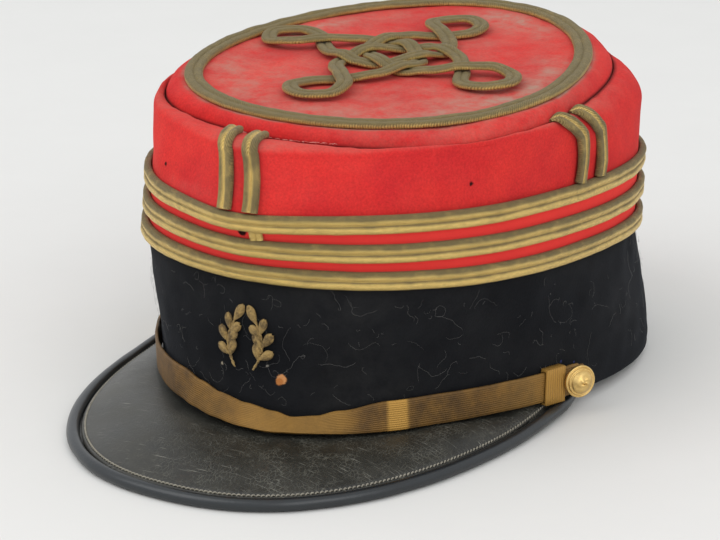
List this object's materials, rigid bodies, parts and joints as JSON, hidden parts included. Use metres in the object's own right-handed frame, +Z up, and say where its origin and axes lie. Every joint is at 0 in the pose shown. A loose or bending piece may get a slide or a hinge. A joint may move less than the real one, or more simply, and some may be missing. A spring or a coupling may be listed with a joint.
{
  "type": "kepi cap",
  "caption": "Officer's kepi: black wool band, red crown with a flat top, rows of gold braid, a looped knot on the top, black leather peak and gold chin strap.",
  "frame": {"origin": "middle of the footprint, at the height of the surface that the cap stands on", "axes": "-Y towards the front of the cap (the peak), +X towards the wearer's left, +Z up"},
  "size_m": [0.175, 0.2484, 0.1148],
  "materials": {
    "black_wool": "felted black wool cloth, matt",
    "red_wool": "felted red wool cloth, matt, dusty on the top",
    "gold_braid": "woven gilt metal thread, worn and part tarnished",
    "tarnished_braid": "woven gilt metal thread, dull olive tarnish",
    "black_leather": "black grained leather, scratched, half gloss",
    "edge_leather": "black rolled leather edge, stitched",
    "gold_strap": "flat gilt braid, browned",
    "button_brass": "stamped gilt brass, worn",
    "gold_embroidery": "padded gilt thread embroidery, dulled"
  },
  "bodies": {
    "root": {"band": "black_wool", "crown_side": "red_wool", "crown_top": "red_wool", "braid_lower": "gold_braid", "braid_middle": "gold_braid", "braid_upper": "gold_braid", "upright_front_a": "gold_braid", "upright_front_b": "gold_braid", "upright_left_a": "gold_braid", "upright_left_b": "gold_braid", "upright_back_a": "gold_braid", "upright_back_b": "gold_braid", "upright_right_a": "gold_braid", "upright_right_b": "gold_braid", "ring_braid": "tarnished_braid", "top_knot": "tarnished_braid", "peak": "black_leather", "peak_binding": "edge_leather", "chin_strap": "gold_strap", "strap_keeper_left": "gold_strap", "strap_keeper_right": "gold_strap", "button_left": "button_brass", "button_right": "button_brass", "front_sprig_left": "gold_embroidery", "front_sprig_right": "gold_embroidery"}
  },
  "joints": []
}
